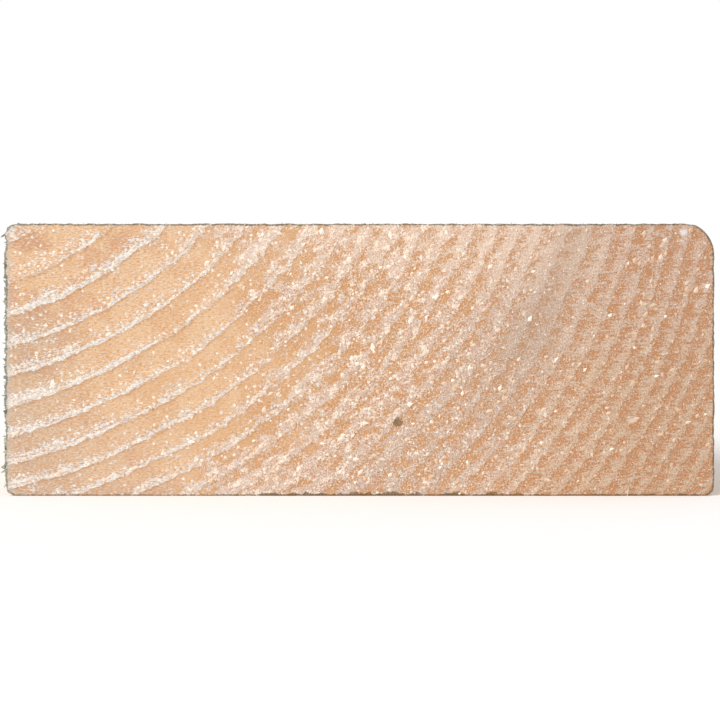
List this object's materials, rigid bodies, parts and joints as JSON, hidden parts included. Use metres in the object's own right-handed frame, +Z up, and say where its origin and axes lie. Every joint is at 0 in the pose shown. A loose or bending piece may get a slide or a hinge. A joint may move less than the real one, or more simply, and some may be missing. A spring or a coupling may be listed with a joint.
{
  "type": "timber plank",
  "caption": "Straight softwood plank of rectangular section with unequal rounded arrises, square-cut ends, planed faces and one sawn edge; stock for framing, decking or crates.",
  "frame": {"origin": "centre of the underside, on the surface that the plank lies on", "axes": "+X across the width towards the planed edge, +Y along the grain away from the end that the picture shows, +Z up through the thickness"},
  "size_m": [0.099, 1.2, 0.038],
  "materials": {
    "timber": "matt, planed faces, rough sawn end grain"
  },
  "bodies": {
    "root": {"plank": "timber"}
  },
  "joints": []
}
